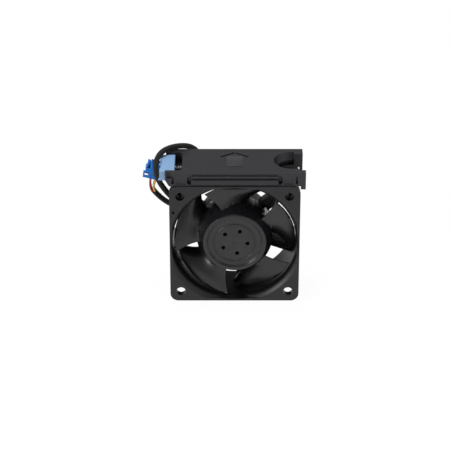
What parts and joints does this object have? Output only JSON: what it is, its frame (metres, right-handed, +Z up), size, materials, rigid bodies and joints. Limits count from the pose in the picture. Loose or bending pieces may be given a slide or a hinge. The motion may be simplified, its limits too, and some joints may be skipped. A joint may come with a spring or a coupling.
{
  "type": "server fan module",
  "caption": "Square server fan in a plug-in carrier with a sliding release latch, a finger scoop, a sleeved lead and a small plug.",
  "frame": {"origin": "middle of the bottom face that the module stands on, midway between its front and back faces", "axes": "+X to the right as seen from the air inlet, +Y to the back, the way the air flows, +Z up to the carrier"},
  "size_m": [0.0752, 0.0305, 0.0706],
  "materials": {
    "frame_plastic": "satin black glass-filled plastic",
    "impeller_plastic": "satin black plastic",
    "carrier_plastic": "fine-textured black plastic",
    "latch_plastic": "satin blue plastic",
    "plug_plastic": "satin blue plastic",
    "steel": "polished",
    "yoke_steel": "zinc plated",
    "core_steel": "stamped laminations",
    "magnet": "bonded ferrite, matt",
    "brass": "turned",
    "copper": "enamelled wire",
    "liner_plastic": "moulded nylon",
    "board_green": "solder resist",
    "board_part": "moulded packages",
    "rubber": "matt rubber",
    "sleeve": "woven black sleeve",
    "wire_black": "insulation",
    "wire_red": "insulation",
    "wire_yellow": "insulation",
    "wire_blue": "insulation"
  },
  "bodies": {
    "housing": {"fan_frame": "frame_plastic", "motor_base": "frame_plastic", "stator_vanes": "frame_plastic", "bearing_outer_races": "steel", "bearing_tube": "brass", "stator_core": "core_steel", "front_liner": "liner_plastic", "rear_liner": "liner_plastic", "coils": "copper", "circuit_board": "board_green", "board_parts": "board_part", "hall_sensor": "board_part", "carrier": "carrier_plastic", "latch_spring": "steel", "lead_gland": "rubber", "motor_wires": "wire_black", "lead_sleeve": "sleeve", "wire_black": "wire_black", "wire_red": "wire_red", "wire_yellow": "wire_yellow", "wire_blue": "wire_blue", "plug_housing": "plug_plastic", "plug_terminals": "brass"},
    "rotor": {"impeller_hub": "impeller_plastic", "impeller_blades": "impeller_plastic", "rotor_yoke": "yoke_steel", "ring_magnet": "magnet", "shaft": "steel", "shaft_clip": "steel", "preload_ring": "steel", "bearing_inner_races": "steel"},
    "ball_train": {"bearing_balls": "steel", "ball_cages": "brass"},
    "latch": {"release_latch": "latch_plastic"},
    "plug_latch": {"plug_lever": "plug_plastic"}
  },
  "joints": [
    {"name": "impeller_spin", "type": "hinge", "parent": "housing", "child": "rotor", "pos_m": [0, 0, 0.03], "axis": [0, -1, 0], "continuous": true},
    {"name": "ball_orbit", "type": "hinge", "parent": "housing", "child": "ball_train", "pos_m": [0, 0, 0.03], "axis": [0, -1, 0], "continuous": true},
    {"name": "latch_slide", "type": "slide", "parent": "housing", "child": "latch", "axis": [1, 0, 0], "range_m": [0, 0.0024], "stiffness_N_per_m": 400, "springref_m": -0.0012, "deforming": ["latch_spring"]},
    {"name": "plug_lever_rock", "type": "hinge", "parent": "housing", "child": "plug_latch", "pos_m": [-0.04077, 0.0117, 0.05741], "axis": [0, 1, 0], "range_deg": [-6, 0], "stiffness_Nm_per_rad": 0.02}
  ],
  "couplings": [
    {"joint": "ball_orbit", "follows": "impeller_spin", "ratio": 0.4}
  ]
}
